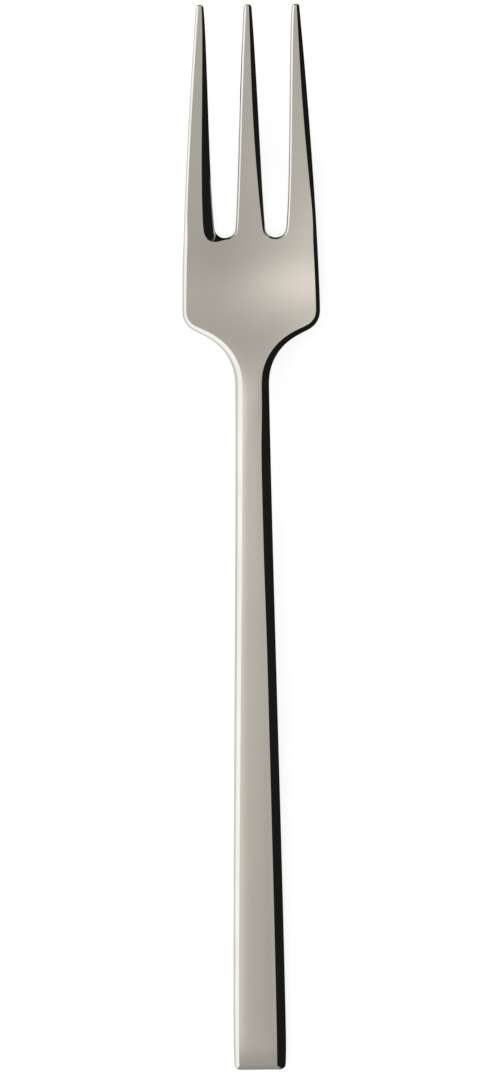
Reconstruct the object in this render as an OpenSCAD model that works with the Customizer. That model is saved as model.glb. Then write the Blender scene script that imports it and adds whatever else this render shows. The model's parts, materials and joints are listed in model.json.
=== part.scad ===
// Three-tined pastry fork, forged and stamped from one blank of stainless steel.
// Lying front face up on a table: tines towards +Y, right tine towards +X, +Z up.
// The origin is under the middle of the fork, on the table.
// A station is a distance along the fork, measured from the end of the handle.

/* [Lengths] */
// Handle, from its squared end to where the neck starts
handle_l = 92; // [80:1:105]
// Neck, up to where the outline starts to sweep out to the shoulders
neck_l = 9.6; // [8:0.1:12]
// Head, from the neck to the ends of the slots
head_l = 21.5; // [20:0.1:24]
// Tines, from the ends of the slots to the tips
tine_l = 33.9; // [30:0.1:40]

/* [Handle and neck] */
// Width of the handle at its end
handle_end_w = 7.85; // [7:0.05:9]
// Width of the neck, the narrowest place of the bar
neck_w = 5.05; // [4.5:0.05:5.6]
// Radius of the two corners at the end of the handle
corner_r = 1; // [0.4:0.05:1.2]
// Length in plan of the sloped wall at the end face
end_rim = 0.6; // [0.3:0.05:1.2]
// How far the front falls towards the end face
end_fall = 0.25; // [0:0.05:0.4]
// Length over which it falls
end_fall_l = 5; // [3:0.5:8]
// Width in plan of the sloped left side at the end of the handle
end_rim_left = 0.85; // [0.6:0.05:1.4]
// Width in plan of the sloped right side at the end of the handle
end_rim_right = 1.25; // [0.6:0.05:1.4]
// Width in plan of each sloped side at the neck
neck_rim = 1.12; // [0.7:0.02:1.3]
// How far the crowned front leans outwards where it meets the sloped sides
crown_angle = 11; // [4:1:14]

/* [Head] */
// Width of the head across its shoulders
head_w = 20.4; // [20:0.1:22]
// Radius of the hollow sweep from the neck to a shoulder
sweep_r = 7.7; // [6.5:0.1:8.5]
// Angle of the shoulders, measured from straight across
shoulder_angle = 27; // [25:1:32]
// Radius of the shoulder corners
shoulder_r = 3.1; // [2.4:0.1:3.8]
// How much each side of the head and its tine draws in by the tip
side_taper = 2.6; // [1.5:0.1:3.5]
// Width in plan of the sloped side round the head
head_rim = 0.62; // [0.4:0.02:0.8]
// How far the sides of the head stand above its middle
dish_depth = 0.9; // [0.3:0.05:1.4]

/* [Tines] */
// Radius of the round ends of the two slots
slot_r = 1.55; // [1.3:0.05:1.8]
// Width of the middle tine just above the slot ends
middle_root_w = 4.4; // [3.8:0.05:5]
// Width of every tine at its tip
tip_w = 1.1; // [0.9:0.05:1.5]
// Radius of the corners of a tip
tip_r = 0.38; // [0.2:0.02:0.42]
// Extra width where a tine flares into its root
root_flare = 0.25; // [0:0.05:0.5]
// Width in plan of the left side of a tine
tine_rim_left = 0.42; // [0.3:0.02:0.6]
// Width in plan of the right side of a tine at its root and tip
tine_rim_right = 0.4; // [0.3:0.02:0.6]
// How much wider the right side of a tine is halfway along
tine_rim_swell = 0.42; // [0:0.02:0.5]
// Width of the cutting bevel on the inner side of the left tine, at its root
bevel_w = 1.65; // [1:0.05:1.8]
// Width of that bevel at the tip
bevel_tip_w = 0.3; // [0.2:0.02:0.5]
// Width in plan of the sloped wall at the very end of a slot
slot_end_rim = 0.3; // [0.2:0.02:0.4]

/* [Side profile] */
// Length of the flat on the back of the handle that rests on the table
rest_l = 12; // [8:1:16]
// Length over which the neck bends from rising to falling
crest_l = 22; // [16:1:28]
// Angle at which the neck falls to the head
fall_angle = 24; // [20:1:27]
// Angle at which the tines rise from their roots
root_lift_angle = 12; // [9:1:15]
// Angle at which the tips rise
lift_angle = 24; // [18:1:28]

/* [Thickness] */
// Handle at its end
end_t = 3; // [2.5:0.1:3.6]
// Bar at the neck, its thickest place
neck_t = 4; // [3.4:0.1:4.6]
// Head, and tines at their roots
head_t = 2; // [1.8:0.1:2.4]
// Tines at their tips
tip_t = 1.4; // [1.2:0.1:1.7]

/* [Side walls] */
// Steepness of the side walls under the front edge, from level
wall_angle = 40; // [36:1:44]
// Steepness of the cutting bevel, from level
bevel_angle = 35; // [33:1:40]

/* [Hidden] */

// Steps along and across each region
handle_steps = 30;
neck_steps = 8;
arc_steps = 7;
side_steps = 10;
tine_steps = 20;
end_steps = 5;
tine_columns = 4;
bar_columns = 3 * tine_columns;
// Points of a side wall below its front edge
wall_steps = 6;

// Stations of the places that everything else follows
neck_start = handle_l;
neck_end = handle_l + neck_l;
slot_end = neck_end + head_l;
fork_l = slot_end + tine_l;

// Share of the thickness that the tips lose to their rolls, and both ends to their heels
tip_roll_share = 0.34;
end_heel_share = 0.1;
// Least share of a side wall's width that the corners of the handle's end leave
corner_rim_share = 0.12;
// Share of a side wall's width that its steep outer band takes
left_band_share = 0.42;
right_band_share = 0.05;
// Shares of the depth under the sloped wall: the widest line, and how upright it is below
widest_share = 0.27;
heel_share = 0.6;
// Shares of the rounds above and below that line at which their points stand
upper_round_share = 0.5;
lower_round_shares = [0.4, 0.75];
// Share of the thickness by which the back is narrower on each side
back_inset_share = 0.3;
// Largest share of a tine's width that a wall, the bevel or the back's inset may take
rim_limit_share = 0.34;
bevel_limit_share = 0.4;
// Share of the rest after which the handle starts to narrow
square_share = 0.33;
// Share of the handle that its rise takes to reach its full slope
rise_share = 0.65;
// Share of the neck at which its bend is centred
crest_share = 0.73;
// Share of the head at which the bowl starts, and of the tines at which it ends
bowl_share = 0.11;
bowl_end_share = 0.3;
// Share of the handle's taper that is eased at its two ends
ease_share = 0.4;
// Powers of the curves of the outline: side of the head, width of a tine, its root's flare
side_power = 1.5;
width_power = 0.8;
flare_power = 8;
// Angle round the end of a slot at which its wall has its full width
rim_turn_angle = 60;
// The bevel's front edge is lowest this far round. Below it the ribs sag, by this share of the
// slot's radius, so that none crosses the bevel. A rib's points lie at these shares of its width.
sag_turn_angle = 42;
sag_share = 0.59;
sag_power = 1.6;
bevel_column_shares = [0.3, 0.55, 0.8];
// Power of the crown's curve across the front of the bar
crown_power = 3;

// From 0 to 1 with level ends
function ease(u) = let (v = max(0, min(1, u))) v * v * (3 - 2 * v);
function mix(a, b, u) = a + (b - a) * u;
// Height that a bend of unit slope has gained at a station, where it runs from one to another
function bend(s, from, to) = let (l = to - from, u = (s - from) / l)
    u <= 0 ? 0 : u >= 1 ? s - (from + to) / 2 : l * (pow(u, 3) - pow(u, 4) / 2);
// From 1 at an end face to 0 where its round of radius r stops, d along the fork
function round_off(d, r) = d >= r ? 0 : 1 - sqrt(1 - pow(1 - d / r, 2));

// Side profile: the handle rises, the neck bends down, and the bowl turns up to the tips
rise_end = rise_share * handle_l;
crest_start = mix(neck_start, neck_end, crest_share) - crest_l / 2;
crest_end = crest_start + crest_l;
bowl_start = mix(neck_end, slot_end, bowl_share);
bowl_end = mix(slot_end, fork_l, bowl_end_share);
fall = tan(fall_angle);
root_lift = tan(root_lift_angle);
lift = tan(lift_angle);
// Where the bowl touches the table: its slope is nought there
touch_u = 0.5 - sin(asin(1 - 2 * fall / (fall + root_lift)) / 3);
touch_at = mix(bowl_start, bowl_end, touch_u);
// Slope of the handle that brings the bowl down to the table
rise = (head_t - end_t + fall * (touch_at - (crest_start + crest_end) / 2)
    - (fall + root_lift) * bend(touch_at, bowl_start, bowl_end))
    / ((crest_start + crest_end) / 2 - (rest_l + rise_end) / 2);
function end_drop(s) = end_fall * pow(max(0, 1 - s / end_fall_l), 2);
function front_z(s) = end_t - end_drop(s) + rise * bend(s, rest_l, rise_end)
    - (rise + fall) * bend(s, crest_start, crest_end)
    + (fall + root_lift) * bend(s, bowl_start, bowl_end)
    + (lift - root_lift) * bend(s, touch_at, fork_l);
function front_slope(s) = rise * ease((s - rest_l) / (rise_end - rest_l))
    - (rise + fall) * ease((s - crest_start) / crest_l)
    + (fall + root_lift) * ease((s - bowl_start) / (bowl_end - bowl_start))
    + (lift - root_lift) * ease((s - touch_at) / (fork_l - touch_at));
// From the neck to the shoulders the front turns from crowned to dished, and along the tines
// the dish fades out
function head_share(s) = ease((s - neck_start) / (corner_at - neck_start));
function dish(s) = dish_depth * head_share(s) * (1 - ease((s - slot_end) / tine_l));
function dish_z(x, s) = dish(s) * pow(x / (head_w / 2), 2);
function dish_slope(x, s) = 2 * dish(s) * x / pow(head_w / 2, 2);
// How far the crowned front falls from its middle to the walls; the end of the handle is flat
function crown_drop(s, front_w) = tan(crown_angle) * ease(s / end_fall_l) * (1 - head_share(s))
    * front_w / 2 / crown_power;
function thickness(s) = end_t - end_drop(s)
    + (neck_t - end_t) * ease((s - rest_l) / (neck_start - rest_l))
    - (neck_t - head_t) * ease((s - crest_start - crest_l / 2) / (corner_at - neck_start))
    - (head_t - tip_t) * ease((s - touch_at - slot_r) / (fork_l - touch_at - slot_r));

// Outline of the bar
taper_start = square_share * rest_l;
function taper(s) = let (u = max(0, min(1, (s - taper_start) / (neck_end - taper_start))))
    mix(u, ease(u), ease_share);
function bar_half(s) = mix(handle_end_w, neck_w, taper(s)) / 2;
// Outline of a shoulder: hollow sweep, straight shoulder, round corner
turn = 90 - shoulder_angle;
sweep_x = neck_w / 2 + sweep_r;
shoulder_x = sweep_x - sweep_r * cos(turn);
shoulder_s = neck_end + sweep_r * sin(turn);
corner_at = shoulder_s + (head_w / 2 - shoulder_x) * tan(shoulder_angle)
    + shoulder_r * tan(turn / 2);
function side_x(s) = head_w / 2
    - side_taper * pow(max(0, (s - corner_at) / (fork_l - corner_at)), side_power);
// Slots and tines
straight_at = slot_end + slot_r;
slot_x = middle_root_w / 2 + slot_r;
outer_root_w = side_x(straight_at) - middle_root_w / 2 - 2 * slot_r;
// The tines are cut off from the head just below the walls of the slot ends
root_at = slot_end - 2 * head_rim;
function along(s) = max(0, (s - straight_at) / (fork_l - straight_at));
function tine_w(s, root_w) = let (u = along(s))
    tip_w + (root_w - root_flare - tip_w) * pow(1 - u, width_power)
    + root_flare * pow(1 - u, flare_power);

// Walls. An edge is a point of the silhouette with its direction into the steel, the width of
// the sloped wall in plan, the inset of the back and the slope of the wall from level:
// [x, station, direction x, direction along, rim, inset, slope].
wall_slope = tan(wall_angle);
function place(x, s, drop) = [x, s - fork_l / 2, front_z(s) + dish_z(x, s) - drop];
function curve(a, b, c, u) = (1 - u) * (1 - u) * a + 2 * u * (1 - u) * b + u * u * c;
function min_depth(a, b) = a[1] < b[1] ? a : b;
// From the front edge down a straight slope, round to the widest line, and under to the back.
// Depths are measured from the front, so where it leans the slope is corrected for that.
function wall_profile(e, t, edge_drop) = let (
    rim = e[4],
    back = [e[5], t],
    slope = e[6] - e[2] * dish_slope(e[0], e[1]) - e[3] * front_slope(e[1]),
    band = mix(right_band_share, left_band_share, (1 + e[2]) / 2),
    slope_end = [band * rim, edge_drop + (1 - band) * rim * slope],
    slope_foot = [0, edge_drop + rim * slope],
    widest = [0, mix(slope_end[1], t, widest_share)],
    foot = [0, mix(widest[1], t, heel_share)])
    concat([[rim, edge_drop], slope_end,
        curve(slope_end, min_depth(slope_foot, widest), widest, upper_round_share), widest],
        [for (u = lower_round_shares) curve(widest, foot, back, u)], [back]);
function wall(e, t, edge_drop, roll, heel) =
    [for (w = wall_profile(e, t, edge_drop))
        [e[0] + e[2] * w[0], e[1] + e[3] * w[0], max(roll + edge_drop, w[1] * (t - heel) / t)]];
// A rib is one closed section: across the front, down the right, across the back, up the left.
// Shares say where its columns stand between its edges, on the front and on the back.
function rib(left, right, s, front_shares, back_shares, roll = 0, heel = 0, sag = 0) = let (
    t = thickness(s),
    edge_drop = crown_drop(s, right[0] - left[0] - right[4] - left[4]),
    l = wall(left, t, edge_drop, roll, heel),
    r = wall(right, t, edge_drop, roll, heel),
    loop = concat([l[0]],
        [for (u = front_shares) let (p = mix(l[0], r[0], u))
            [p[0], p[1] - sag * sin(180 * pow(u, sag_power)),
                roll + edge_drop * pow(abs(2 * u - 1), crown_power)]],
        r, [for (u = back_shares) mix(r[wall_steps], l[wall_steps], u)],
        [for (k = [wall_steps:-1:1]) l[k]]))
    [for (p = loop) place(p[0], p[1], p[2])];

// Closed skin over ribs with equally many points, c columns across each
module skin(ribs, c) {
    n = len(ribs[0]);
    last = (len(ribs) - 1) * n;
    points = [for (r = ribs) each r];
    sides = [for (i = [0:n:last - n], j = [0:n - 1]) let (k = (j + 1) % n)
        each [[i + j, i + n + k, i + k], [i + j, i + n + j, i + n + k]]];
    // An end is a ladder from front to back, with a fan at each wall from the nearest back point
    near_left = n - wall_steps - 1;
    near_right = c + wall_steps + 1;
    end = concat([for (m = [1:c - 2])
            each [[m, m + 1, near_left - m], [m, near_left - m, near_left - m + 1]]],
        [for (k = [c - 1:c + wall_steps - 1]) [k, k + 1, near_right]],
        [for (k = [n - wall_steps:n - 1]) [k, (k + 1) % n, near_left]], [[0, 1, near_left]]);
    finish = [for (f = end) [f[2] + last, f[1] + last, f[0] + last]];
    polyhedron(points, concat(sides, end, finish), convexity = 6);
}

// The columns of the bar and the head lie in line with those of the tines
function even_shares(from, to, n) = [for (k = [0:n - 1]) mix(from, to, k / n)];
function column_shares(slot_share) = let (
    a = (1 - slot_share) / 2,
    all = concat(even_shares(0, a, tine_columns), even_shares(a, 1 - a, tine_columns),
        even_shares(1 - a, 1, tine_columns)))
    [for (k = [1:bar_columns - 1]) all[k]];
root_inset = back_inset_share * thickness(root_at);
front_columns = column_shares(slot_x / (side_x(root_at) - head_rim));
back_columns = column_shares(slot_x / (side_x(root_at) - root_inset));
own_columns = [for (k = [1:tine_columns - 1]) k / tine_columns];

// Bar
function corner_in(s) = corner_r * round_off(s, corner_r);
function bar_rim(s, rim) =
    max(corner_rim_share * rim, mix(rim, neck_rim, taper(s)) - corner_in(s));
function bar_rib(s) = let (
    half = bar_half(s) - corner_in(s),
    inset = back_inset_share * thickness(s))
    rib([-half, s, 1, 0, bar_rim(s, end_rim_left), inset, wall_slope],
        [half, s, -1, 0, bar_rim(s, end_rim_right), inset, wall_slope],
        s, front_columns, back_columns, max(0, end_rim - s) * wall_slope,
        end_heel_share * thickness(s) * round_off(s, end_rim));

// Head: the points of its right outline, each with its direction into the steel
head_outline = concat(
    [for (k = [0:arc_steps]) let (a = turn * k / arc_steps)
        [sweep_x - sweep_r * cos(a), neck_end + sweep_r * sin(a), -cos(a), sin(a)]],
    [for (k = [1:arc_steps - 1]) let (u = k / arc_steps,
        corner_x = head_w / 2 - shoulder_r * (1 - cos(turn)),
        corner_s = corner_at - shoulder_r * sin(turn))
        [mix(shoulder_x, corner_x, u), mix(shoulder_s, corner_s, u), -cos(turn), sin(turn)]],
    [for (k = [arc_steps:-1:0]) let (a = turn * k / arc_steps)
        [head_w / 2 - shoulder_r * (1 - cos(a)), corner_at - shoulder_r * sin(a), -cos(a), sin(a)]],
    [for (k = [1:side_steps]) let (s = mix(corner_at, root_at, k / side_steps))
        [side_x(s), s, -1, 0]]);
function head_rib(p) = let (
    rim = mix(neck_rim, head_rim, ease((p[1] - neck_end) / (corner_at - neck_end))),
    inset = back_inset_share * thickness(p[1]))
    rib([-p[0], p[1], -p[2], p[3], rim, inset, wall_slope],
        [p[0], p[1], p[2], p[3], rim, inset, wall_slope], p[1], front_columns, back_columns);

// Tines. The rows of a tine are stations: its root, round the slot end, then up to the tip.
function slot_angle(k) = 90 * k / arc_steps;
tine_rows = concat([[root_at, 0, false]],
    [for (k = [0:arc_steps - 1]) let (a = slot_angle(k)) [slot_end + slot_r * (1 - cos(a)), a, true]],
    [for (k = [0:tine_steps - 1])
        [mix(straight_at, fork_l - tip_r, k / tine_steps), 90, true]],
    [for (k = [0:end_steps]) [fork_l - tip_r * (1 - sin(90 * k / end_steps)), 90, true]]);
// How far the corner of a tip has drawn in
function tip_in(s) = tip_r * round_off(fork_l - s, tip_r);
function limited(rim, w) = min(rim, rim_limit_share * w);
function side_swell(s) = tine_rim_swell * sin(180 * along(s));
// Edge along a slot: side is 1 where the steel lies to the right of the slot, and -1 to its left
function slot_edge(row, slot, side, x, rim, inset, slope = wall_slope) = row[2]
    ? [row[1] < 90 ? slot * slot_x + side * slot_r * sin(row[1]) : x, row[0],
        side * sin(row[1]), -cos(row[1]), rim, inset, slope]
    : [slot * slot_x, row[0], side, 0, 0, 0, slope];
// Wall at a slot, from its very end round to the side of the tine
function slot_rim(row, rim) = mix(slot_end_rim, rim, ease(row[1] / rim_turn_angle));
function tine_inset(s, w) = limited(back_inset_share * thickness(s), w);
// Outer edge of an outer tine: its wall starts as the head's and ends as its own
rim_change_l = 4 * slot_r;
function outer_rim(s, rim, w) =
    limited(mix(head_rim, rim, ease((s - root_at) / rim_change_l)), w);

function outer_tine_rib(row, hand) = let (
    s = row[0],
    w = tine_w(s, outer_root_w) - 2 * tip_in(s),
    out_x = side_x(s) - tip_in(s),
    in_x = out_x - w,
    inset = tine_inset(s, w),
    turned = round_off(fork_l - s, tip_r),
    bevel = min(mix(bevel_w, bevel_tip_w, along(s)), bevel_limit_share * w),
    own_rim = hand < 0 ? tine_rim_left : tine_rim_right + side_swell(s),
    outer = [hand * out_x, s, -hand, 0, outer_rim(s, own_rim, w), inset, wall_slope],
    inner = hand < 0
        ? slot_edge(row, hand, hand, hand * in_x, slot_rim(row, bevel), inset,
            mix(wall_slope, tan(bevel_angle), sin(row[1])))
        : slot_edge(row, hand, hand, hand * in_x, slot_rim(row, limited(tine_rim_left, w)), inset),
    sag = hand < 0 && row[2] ? sag_share * slot_r * max(0, 1 - row[1] / sag_turn_angle) : 0)
    rib(hand < 0 ? outer : inner, hand < 0 ? inner : outer, s,
        hand < 0 && row[2] ? bevel_column_shares : own_columns, own_columns,
        tip_roll_share * thickness(s) * turned, end_heel_share * thickness(s) * turned, sag);

function middle_tine_rib(row) = let (
    s = row[0],
    w = tine_w(s, middle_root_w) - 2 * tip_in(s),
    inset = tine_inset(s, w),
    turned = round_off(fork_l - s, tip_r),
    left_rim = slot_rim(row, limited(tine_rim_left, w)),
    right_rim = slot_rim(row, limited(tine_rim_right + side_swell(s), w)))
    rib(slot_edge(row, -1, 1, -w / 2, left_rim, inset),
        slot_edge(row, 1, -1, w / 2, right_rim, inset), s, own_columns, own_columns,
        tip_roll_share * thickness(s) * turned, end_heel_share * thickness(s) * turned);

module handle() {
    color("silver") skin(concat(
        [for (k = [0:end_steps - 1]) bar_rib(end_rim * (1 - cos(90 * k / end_steps)))],
        [for (k = [0:handle_steps]) bar_rib(mix(end_rim, neck_start, k / handle_steps))]),
        bar_columns);
}

module neck() {
    color("silver") skin([for (k = [0:neck_steps]) bar_rib(mix(neck_start, neck_end, k / neck_steps))],
        bar_columns);
}

module head() {
    color("silver") skin([for (p = head_outline) head_rib(p)], bar_columns);
}

module tine_left() {
    color("silver") skin([for (row = tine_rows) outer_tine_rib(row, -1)], tine_columns);
}

module tine_middle() {
    color("silver") skin([for (row = tine_rows) middle_tine_rib(row)], tine_columns);
}

module tine_right() {
    color("silver") skin([for (row = tine_rows) outer_tine_rib(row, 1)], tine_columns);
}

handle();
neck();
head();
tine_left();
tine_middle();
tine_right();
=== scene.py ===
# A three-tined pastry fork, forged from one blank of stainless steel and lying front face up.
# The model splits it into six regions. Here one unbroken skin covers them all, with satin steel
# on its front and back, polished steel on its side walls, and crisp edges between the two.
import json
import math

import bpy
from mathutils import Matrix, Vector

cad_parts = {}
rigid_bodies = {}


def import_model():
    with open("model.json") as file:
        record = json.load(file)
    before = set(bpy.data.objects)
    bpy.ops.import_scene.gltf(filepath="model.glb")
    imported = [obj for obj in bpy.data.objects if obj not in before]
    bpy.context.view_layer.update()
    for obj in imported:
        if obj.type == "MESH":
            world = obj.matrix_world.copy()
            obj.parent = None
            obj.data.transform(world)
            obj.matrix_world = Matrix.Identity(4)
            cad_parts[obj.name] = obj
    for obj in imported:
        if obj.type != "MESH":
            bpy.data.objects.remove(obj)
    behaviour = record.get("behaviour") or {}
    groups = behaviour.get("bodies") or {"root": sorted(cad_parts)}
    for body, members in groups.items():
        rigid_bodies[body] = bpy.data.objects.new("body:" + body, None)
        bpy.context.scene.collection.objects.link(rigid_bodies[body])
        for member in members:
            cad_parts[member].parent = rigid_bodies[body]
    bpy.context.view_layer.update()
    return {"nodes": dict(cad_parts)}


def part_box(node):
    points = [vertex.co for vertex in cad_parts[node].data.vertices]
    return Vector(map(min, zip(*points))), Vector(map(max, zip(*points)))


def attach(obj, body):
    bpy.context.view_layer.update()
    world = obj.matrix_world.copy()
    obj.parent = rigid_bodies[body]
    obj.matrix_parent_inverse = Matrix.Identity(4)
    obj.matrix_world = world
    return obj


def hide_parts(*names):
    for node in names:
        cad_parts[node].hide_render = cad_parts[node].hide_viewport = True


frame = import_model()
regions = frame["nodes"]

MM = 0.001
WHITE = (1, 1, 1, 1)


class Socket:
    """An output of a node. A sum, difference or product with it adds a Math node to its tree."""

    def __init__(self, tree, output):
        self.tree, self.output = tree, output

    def maths(self, operation, first, second):
        sockets = {"Value": first, "Value_001": second}
        return self.tree.node("ShaderNodeMath", {"operation": operation}, sockets)["Value"]

    def __add__(self, other):
        return self.maths("ADD", self, other)

    __radd__ = __add__

    def __sub__(self, other):
        return self.maths("SUBTRACT", self, other)

    def __rsub__(self, other):
        return self.maths("SUBTRACT", other, self)

    def __mul__(self, other):
        return self.maths("MULTIPLY", self, other)

    __rmul__ = __mul__


class Tree:
    """The nodes of a material or a world."""

    def __init__(self, owner):
        owner.use_nodes = True
        self.nodes, self.links = owner.node_tree.nodes, owner.node_tree.links
        self.nodes.clear()

    def node(self, kind, settings, sockets):
        """Adds a node, its settings first, then its sockets. Gives its outputs by identifier."""
        made = self.nodes.new(kind)
        for name, setting in settings.items():
            setattr(made, name, setting)
        for name, value in sockets.items():
            socket = find_socket(made.inputs, name)
            if isinstance(value, Socket):
                self.links.new(value.output, socket)
            else:
                socket.default_value = value
        return {s.identifier: Socket(self, s) for s in made.outputs}

    def steps(self, value, low, high, start=0.0, end=1.0):
        """A smooth step from start to end while the value goes from low to high."""
        sockets = {
            "Value": value, "From Min": low, "From Max": high, "To Min": start, "To Max": end
        }
        settings = {"interpolation_type": "SMOOTHSTEP"}
        return self.node("ShaderNodeMapRange", settings, sockets)["Result"]

    def vector_maths(self, operation, first, second=(0, 0, 0)):
        """A Vector Math node: gives its number for a distance or a product, else its vector."""
        sockets = {"Vector": first, "Vector_001": second}
        outputs = self.node("ShaderNodeVectorMath", {"operation": operation}, sockets)
        return outputs["Value" if operation in ("DISTANCE", "DOT_PRODUCT") else "Vector"]

    def blend(self, share, first, second):
        """A colour between two colours."""
        sockets = {"Factor_Float": share, "A_Color": first, "B_Color": second}
        return self.node("ShaderNodeMix", {"data_type": "RGBA"}, sockets)["Result_Color"]


def find_socket(sockets, name):
    """A socket by its identifier or, where no identifier matches, by its name."""
    return next((s for s in sockets if s.identifier == name), None) or sockets[name]


# Satin steel, a warm light grey, and polished steel, each from its darkest to its palest tone.
# The satin's span also carries its painted light and shade.
SATIN_TONES = (0.46, 0.431, 0.376, 1), (0.69, 0.648, 0.57, 1)
POLISH_TONES = (0.63, 0.615, 0.585, 1), (0.67, 0.655, 0.625, 1)
# Noise on the two steels: the size of its spots along X, Y and Z, and its detail
SATIN_STREAKS = (7 * MM, 0.12 * MM, 7 * MM), 3.0
SATIN_CLOUDS = (9 * MM, 7 * MM, 9 * MM), 2.0
POLISH_MARKS = (1.5 * MM, 6 * MM, 0.3 * MM), 2.0
POLISH_CLOUDS = (8 * MM, 8 * MM, 8 * MM), 1.0
# Roughness of each: its least, and what the fine marks and the clouds add
SATIN_ROUGHNESS = 0.2, 0.05, 0.05
POLISH_ROUGHNESS = 0.05, 0.03, 0.02
# Depth of the fine marks, and how strongly they show in each steel
MARK_DEPTH = 0.02 * MM
SATIN_BUMP, POLISH_BUMP = 0.05, 0.03
# What the streaks and the clouds add to the satin's tone, and what is taken off again
STREAK_TONE, CLOUD_TONE, TONE_OFFSET = 0.05, 0.15, 0.11
# Soft steps of the satin's tone along the fork: from and to a place in millimetres, and how
# much. They were set so that the render's brightness along the fork follows the photo's.
# They are painted light and shade, standing in for shading that the light doesn't give, and are
# no property of the steel.
PAINTED_SHADING_STEPS = (
    (-78, -74.5, 0.5),
    (-78, 0, 0.37),
    (-15, 6, 0.25),
    (10, 42, -0.18),
    (14, 21, -0.4),
    (22, 28, 0.15),
    (34, 43, -0.22),
    (46, 54, 0.27),
)
# The polish goes from its darkest to its palest tone between these values of its clouds
POLISH_CHANGE = 0.35, 0.65


def object_place(tree):
    """The place on the piece, in metres."""
    return tree.node("ShaderNodeTexCoord", {}, {})["Object"]


def noise(tree, size, detail):
    """Noise from 0 to 1 whose spots have this size in metres along X, Y and Z."""
    sockets = {"Vector": object_place(tree), "Scale": [1 / length for length in size]}
    scaled = tree.node("ShaderNodeMapping", {}, sockets)["Vector"]
    sockets = {"Vector": scaled, "Scale": 1.0, "Detail": detail}
    return tree.node("ShaderNodeTexNoise", {}, sockets)["Fac"]


def steel_surface(tree, colour, marks, clouds, roughness, bump):
    """Finishes a steel material with its colour, roughness and fine relief."""
    least, mark_share, cloud_share = roughness
    relief = {"Height": marks, "Strength": bump, "Distance": MARK_DEPTH}
    steel = {
        "Base Color": colour,
        "Metallic": 1.0,
        "Roughness": least + mark_share * marks + cloud_share * clouds,
        "Normal": tree.node("ShaderNodeBump", {}, relief)["Normal"],
    }
    surface = tree.node("ShaderNodeBsdfPrincipled", {}, steel)["BSDF"]
    tree.node("ShaderNodeOutputMaterial", {}, {"Surface": surface})


def satin_steel():
    """Front and back: brushed and cloudy, with painted light and shade along the fork that make
    it darkest at the handle's end.
    """
    material = bpy.data.materials.new("satin_steel")
    tree = Tree(material)
    streaks, clouds = noise(tree, *SATIN_STREAKS), noise(tree, *SATIN_CLOUDS)
    along = tree.node("ShaderNodeSeparateXYZ", {}, {"Vector": object_place(tree)})["Y"]
    grain_and_painted_shading = STREAK_TONE * streaks + CLOUD_TONE * clouds - TONE_OFFSET
    # Painted light and shade along the fork, added to the steel's own streaks and clouds
    for low, high, change in PAINTED_SHADING_STEPS:
        grain_and_painted_shading = grain_and_painted_shading + tree.steps(along, low * MM, high * MM, 0.0, change)
    colour = tree.blend(grain_and_painted_shading, *SATIN_TONES)
    steel_surface(tree, colour, streaks, clouds, SATIN_ROUGHNESS, SATIN_BUMP)
    return material


def polished_steel():
    """Side walls: buffed bright, with faint buffing marks."""
    material = bpy.data.materials.new("polished_steel")
    tree = Tree(material)
    marks, clouds = noise(tree, *POLISH_MARKS), noise(tree, *POLISH_CLOUDS)
    colour = tree.blend(tree.steps(clouds, *POLISH_CHANGE), *POLISH_TONES)
    steel_surface(tree, colour, marks, clouds, POLISH_ROUGHNESS, POLISH_BUMP)
    return material


# Vertices closer than this are one, and a place is met within the second of these
WELD_GAP = 0.002 * MM
PLACE_GAP = 0.01 * MM
# A face that looks up or down more steeply than this is front or back, and the rest are walls
WALL_ANGLE = math.radians(29.5)
# An edge that bends more than this is crisp
CRISP_ANGLE = math.radians(28)
# Slots of the skin's two materials
SATIN, POLISH = 0, 1
# Places from the regions' boxes: the handle's end and the tines' roots along the fork, and how
# far the middle of a slot lies from the middle of the fork
HANDLE_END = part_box("handle")[0][1]
TINE_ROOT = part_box("head")[1][1]
SLOT_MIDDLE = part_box("tine_middle")[1][0]
# The end wall of the handle: its width, a height below its front, and the front's two edges
END_WALL = 0.6 * MM
END_FRONT_Z = 1.6 * MM
END_EDGES = -3.075 * MM, 2.675 * MM
# What is left between a mitred corner and the next point of its row
MITRE_GAP = 0.02 * MM
# A satin face whose normal has more than this along Z is on the front and not on the back
FRONT_FACING = 0.5
# How far the front's right edge is drawn in along the handle, and from where to where that fades
FRONT_DRAW_IN = 0.14 * MM
FRONT_FADE = 15 * MM, 21 * MM
# How much further it is drawn in at the neck, and from where to where that comes and fades
NECK_DRAW_IN = 0.12 * MM
NECK_RISE = -18 * MM, 0.0
NECK_FADE = 12 * MM, 17 * MM
# The bevel round the end of the left slot: how far it reaches to the left of the slot's middle,
# and the least that its faces look up
BEVEL_REACH = 3.4 * MM
BEVEL_FACING = 0.02
# It is relaxed in stages, each a length from the root and a number of rounds of this strength
EVENING = (1.7 * MM, 20), (2.0 * MM, 3), (2.4 * MM, 1)
EVENING_STRENGTH = 0.5
# Two triangles become one face where they bend, and where its corners slant, less than this
QUAD_BEND, QUAD_SLANT = math.radians(50), math.radians(70)
SUBDIVISIONS = 2


def copy_region(name):
    """A copy of a region's own mesh, to be worked on."""
    mesh = regions[name].data.copy()
    mesh.materials.clear()
    piece = bpy.data.objects.new("fork_" + name, mesh)
    bpy.context.collection.objects.link(piece)
    return piece


def select(piece, kind, wanted):
    """In edit mode, selects the vertices or faces that the test names."""
    bpy.ops.mesh.select_mode(type=kind)
    bpy.ops.mesh.select_all(action="DESELECT")
    bpy.ops.object.mode_set(mode="OBJECT")
    for item in piece.data.vertices if kind == "VERT" else piece.data.polygons:
        item.select = wanted(item)
    bpy.ops.object.mode_set(mode="EDIT")


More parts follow.
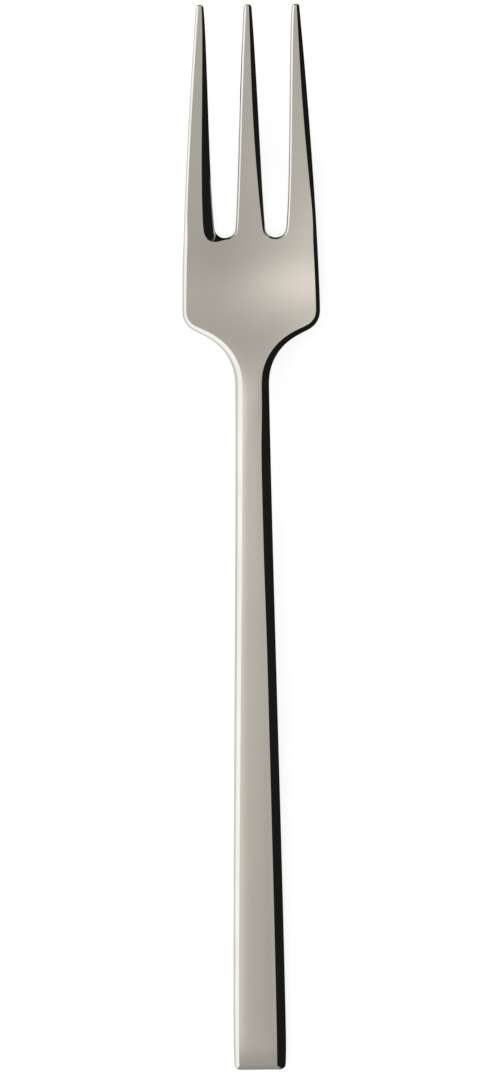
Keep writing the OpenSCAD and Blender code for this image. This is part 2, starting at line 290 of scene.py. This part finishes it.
def is_inner_face(piece, face, along):
    """True for a face that lies in a plane where two regions meet, at these places or a slot."""
    corners = [piece.data.vertices[i].co for i in face.vertices]
    flat_along = any(all(abs(c.y - place) < PLACE_GAP for c in corners) for place in along)
    return flat_along or all(abs(abs(c.x) - SLOT_MIDDLE) < PLACE_GAP for c in corners)


def join_regions():
    """One closed skin over copies of the six regions."""
    parts = [copy_region(name) for name in regions]
    bpy.ops.object.select_all(action="DESELECT")
    for part in parts:
        part.select_set(True)
    bpy.context.view_layer.objects.active = parts[0]
    bpy.ops.object.join()
    skin = bpy.context.view_layer.objects.active
    skin.name = "fork"
    neck_low, neck_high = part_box("neck")
    along = neck_low[1], neck_high[1], TINE_ROOT
    bpy.ops.object.mode_set(mode="EDIT")
    bpy.ops.mesh.select_all(action="SELECT")
    bpy.ops.mesh.remove_doubles(threshold=WELD_GAP)
    select(skin, "FACE", lambda face: is_inner_face(skin, face, along))
    bpy.ops.mesh.delete(type="FACE")
    bpy.ops.object.mode_set(mode="OBJECT")
    return skin


def make_crisp():
    """Keeps the selected edges sharp."""
    bpy.ops.mesh.mark_sharp()
    bpy.ops.transform.edge_crease(value=1.0)


def mitre_end_corners(skin):
    """Moves the corners of the end wall outwards, to where its plane meets the side wall's."""
    wall_top = HANDLE_END + END_WALL
    places = [vertex.co.copy() for vertex in skin.data.vertices]
    places = [c for c in places if c.y < wall_top - PLACE_GAP and c.z > END_FRONT_Z]
    for edge in END_EDGES:
        side = math.copysign(1, edge)
        for corner in [c for c in places if abs(c.x - edge) < PLACE_GAP]:
            row = [c.x * side for c in places if abs(c.y - corner.y) < WELD_GAP]
            beyond = min(x for x in row if x > edge * side + PLACE_GAP)
            shift = min(wall_top - corner.y, beyond - edge * side - MITRE_GAP)
            select(skin, "VERT", lambda vertex: (vertex.co - corner).length < WELD_GAP)
            bpy.ops.transform.translate(value=(side * shift, 0, 0))


def eased(value, low, high):
    """From 0 at low to 1 at high, with level ends."""
    share = min(1.0, max(0.0, (value - low) / (high - low)))
    return share * share * (3 - 2 * share)


def right_wall_gain(y):
    """How much wider the right wall shows at a place along the fork."""
    gain = FRONT_DRAW_IN * (1 - eased(y, *FRONT_FADE))
    return gain + NECK_DRAW_IN * eased(y, *NECK_RISE) * (1 - eased(y, *NECK_FADE))


def rows_to_draw_in(skin):
    """Rows of points across the right half of the front, where its edge is to be drawn in."""
    front = {
        i
        for face in skin.data.polygons
        if face.material_index == SATIN and face.normal.z > FRONT_FACING
        for i in face.vertices
    }
    rows = {}
    for point in (skin.data.vertices[i].co.copy() for i in front):
        if point.x > 0 and right_wall_gain(point.y) > 0:
            rows.setdefault(round(point.y / WELD_GAP), []).append(point)
    return rows.values()


def is_in_row(co, place, edge, low):
    """True for a point of the row at this place, above its low side and inside its edge."""
    return abs(co.y - place) < WELD_GAP and 0 < co.x < edge + WELD_GAP and co.z > low


def draw_in_front(skin):
    """Draws in the right half of the handle's front, row by row, so that its wall shows wider."""
    rows = rows_to_draw_in(skin)
    bpy.ops.object.mode_set(mode="EDIT")
    for row in rows:
        place, edge = row[0].y, max(point.x for point in row)
        low = min(point.z for point in row) - WELD_GAP
        select(skin, "VERT", lambda vertex: is_in_row(vertex.co, place, edge, low))
        share = 1 - right_wall_gain(place) / edge
        bpy.ops.transform.resize(value=(share, 1, 1), center_override=(0, 0, 0))


def is_slot_bevel(face, reach):
    """True for a face of the bevel round the left slot's end, up to a reach from the root."""
    if face.material_index != POLISH or face.normal.z <= BEVEL_FACING:
        return False
    across, along = face.center.x, face.center.y
    beside_slot = -SLOT_MIDDLE - BEVEL_REACH < across < -SLOT_MIDDLE
    return beside_slot and TINE_ROOT < along < TINE_ROOT + reach


def even_out_slot_end(skin):
    """Relaxes the bevel round the end of the left slot, inside its own borders."""
    for reach, rounds in EVENING:
        select(skin, "FACE", lambda face: is_slot_bevel(face, reach))
        bpy.ops.mesh.select_mode(type="VERT")
        bpy.ops.mesh.select_less(use_face_step=False)
        bpy.ops.mesh.vertices_smooth(factor=EVENING_STRENGTH, repeat=rounds)


def is_wall(face):
    """True for a face of the side walls or of the handle's end wall."""
    on_end_wall = face.center.y < HANDLE_END + END_WALL and face.center.z > END_FRONT_Z
    return on_end_wall or abs(face.normal.z) < math.cos(WALL_ANGLE)


def give_steel(skin):
    """Satin on the front and back, polish on the walls, and crisp edges round the walls."""
    skin.data.materials.append(satin_steel())
    skin.data.materials.append(polished_steel())
    bpy.ops.object.mode_set(mode="EDIT")
    select(skin, "FACE", is_wall)
    skin.active_material_index = POLISH
    bpy.ops.object.material_slot_assign()
    bpy.ops.mesh.region_to_loop()
    make_crisp()
    mitre_end_corners(skin)
    bpy.ops.object.mode_set(mode="OBJECT")
    draw_in_front(skin)
    even_out_slot_end(skin)
    bpy.ops.mesh.select_mode(type="EDGE")
    bpy.ops.mesh.select_all(action="DESELECT")
    bpy.ops.mesh.edges_select_sharp(sharpness=CRISP_ANGLE)
    make_crisp()
    bpy.ops.object.mode_set(mode="OBJECT")


def smooth(skin):
    """Turns the triangles into four-sided faces and rounds the skin's curves."""
    bpy.ops.object.mode_set(mode="EDIT")
    bpy.ops.mesh.select_all(action="SELECT")
    bpy.ops.mesh.tris_convert_to_quads(
        face_threshold=QUAD_BEND, shape_threshold=QUAD_SLANT, sharp=True, materials=True
    )
    bpy.ops.object.mode_set(mode="OBJECT")
    finer = skin.modifiers.new("finer", "SUBSURF")
    finer.levels = finer.render_levels = SUBDIVISIONS
    bpy.ops.object.modifier_apply(modifier=finer.name)
    bpy.ops.object.shade_smooth()


def make_fork():
    skin = join_regions()
    give_steel(skin)
    smooth(skin)
    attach(skin, "root")
    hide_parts(*regions)


# The floor lies just under the fork and glows, so that it is as white as the backdrop
FLOOR_SIDE = 6.0
FLOOR_GAP = 0.05 * MM
FLOOR_COLOUR = (0.4, 0.4, 0.4, 1)
FLOOR_GLOW = 0.8


def make_floor():
    bpy.ops.mesh.primitive_plane_add(size=FLOOR_SIDE, location=(0, 0, -FLOOR_GAP))
    floor = bpy.context.view_layer.objects.active
    floor.name = "floor"
    material = bpy.data.materials.new("floor_white")
    tree = Tree(material)
    paint = {
        "Base Color": FLOOR_COLOUR,
        "Roughness": 1.0,
        "Specular IOR Level": 0.0,
        "Emission Color": WHITE,
        "Emission Strength": FLOOR_GLOW,
    }
    surface = tree.node("ShaderNodeBsdfPrincipled", {}, paint)["BSDF"]
    tree.node("ShaderNodeOutputMaterial", {}, {"Surface": surface})
    floor.data.materials.append(material)
    # The steel mirrors the dome's low light instead of the floor
    floor.visible_glossy = False


# The dome overhead, by the direction that it is seen in. Its brightness goes from right to left:
# from and to an X of the direction, and the brightness at either.
DOME_ACROSS = 0.4, -0.88, 0.92, 1.26
# That is multiplied by a share and its changes along the fork: from and to a Y, and how much
DOME_SHARE = 0.65
DOME_ALONG = (-0.42, -0.06, 0.115), (-0.15, 0.24, 0.2), (0.3, 0.76, -0.36)
# Soft spots of the dome, each a direction, a width and a brightness
SPOTS = (
    (Vector((-0.21, 0.4, 0.89)), 0.35, 0.4),
    (Vector((0.12, 0.23, 0.97)), 0.52, -0.34),
    (Vector((-0.45, -0.12, 0.88)), 0.32, 0.32),
)
# Brightness of the low light on the left and on the right. It turns from one to the other while
# the level direction goes round, measured along this axis.
LEFT_SIDE, RIGHT_SIDE = 1.4, 0.014
SIDE_AXIS = (1, 0.25, 0)
SIDE_TURN = -0.05, -0.6
# Heights between which the overhead light gives way to the low light
LOW_LIGHT = 0.62, 0.4
# Share of the low light that is left below the horizon, and the heights between which it drops
TABLE_SHARE = 0.62
HORIZON = -0.2, 0.05
# Brightness where the camera sees the dome itself
BACKDROP = 1.0


def make_light():
    """A soft white dome, paler on the left and dark low on the right."""
    world = bpy.data.worlds.new("studio")
    bpy.context.scene.world = world
    tree = Tree(world)
    direction = tree.node("ShaderNodeTexCoord", {}, {})["Generated"]
    axes = tree.node("ShaderNodeSeparateXYZ", {}, {"Vector": direction})
    across, along, height = axes["X"], axes["Y"], axes["Z"]
    share = DOME_SHARE
    for low, high, change in DOME_ALONG:
        share = share + change * tree.steps(along, low, high)
    above = tree.steps(across, *DOME_ACROSS) * share
    for centre, width, brightness in SPOTS:
        off = tree.vector_maths("DISTANCE", direction, centre)
        above = above + tree.steps(off, 0.0, width, brightness, 0.0)
    level = tree.vector_maths("MULTIPLY", direction, (1, 1, 0))
    level = tree.vector_maths("NORMALIZE", level)
    facing = tree.vector_maths("DOT_PRODUCT", level, SIDE_AXIS)
    side = tree.steps(facing, *SIDE_TURN, RIGHT_SIDE, LEFT_SIDE)
    side = side * tree.steps(height, *HORIZON, TABLE_SHARE, 1.0)
    low = tree.steps(height, *LOW_LIGHT)
    light = above * (1 - low) + side * low
    seen = tree.node("ShaderNodeLightPath", {}, {})["Is Camera Ray"]
    strength = light * (1 - seen) + BACKDROP * seen
    dome = tree.node("ShaderNodeBackground", {}, {"Color": WHITE, "Strength": strength})
    tree.node("ShaderNodeOutputWorld", {}, {"Surface": dome["Background"]})


# Camera: straight above, far away, turned as the photograph is. The photograph's height in
# pixels and its scale give the camera's distance.
PHOTO_HEIGHT = 1073
PIXELS_PER_METRE = 6770
CAMERA_LENS = 300
SENSOR = 36
FORK_LEAN = math.radians(0.68)
VIEW_CENTRE = Vector((-0.56 * MM, 0.38 * MM, 4.0 * MM))
# The camera sees as far as this many times its distance
SIGHT = 10


def make_camera():
    data = bpy.data.cameras.new("camera")
    data.lens, data.sensor_width = CAMERA_LENS, SENSOR
    camera = bpy.data.objects.new("camera", data)
    bpy.context.collection.objects.link(camera)
    distance = PHOTO_HEIGHT / PIXELS_PER_METRE * CAMERA_LENS / SENSOR
    camera.location = VIEW_CENTRE + Vector((0, 0, distance))
    camera.rotation_euler = (0, 0, -FORK_LEAN)
    data.clip_end = SIGHT * distance
    bpy.context.scene.camera = camera
    bpy.context.scene.view_settings.view_transform = "Standard"


make_camera()
make_light()
make_floor()
make_fork()
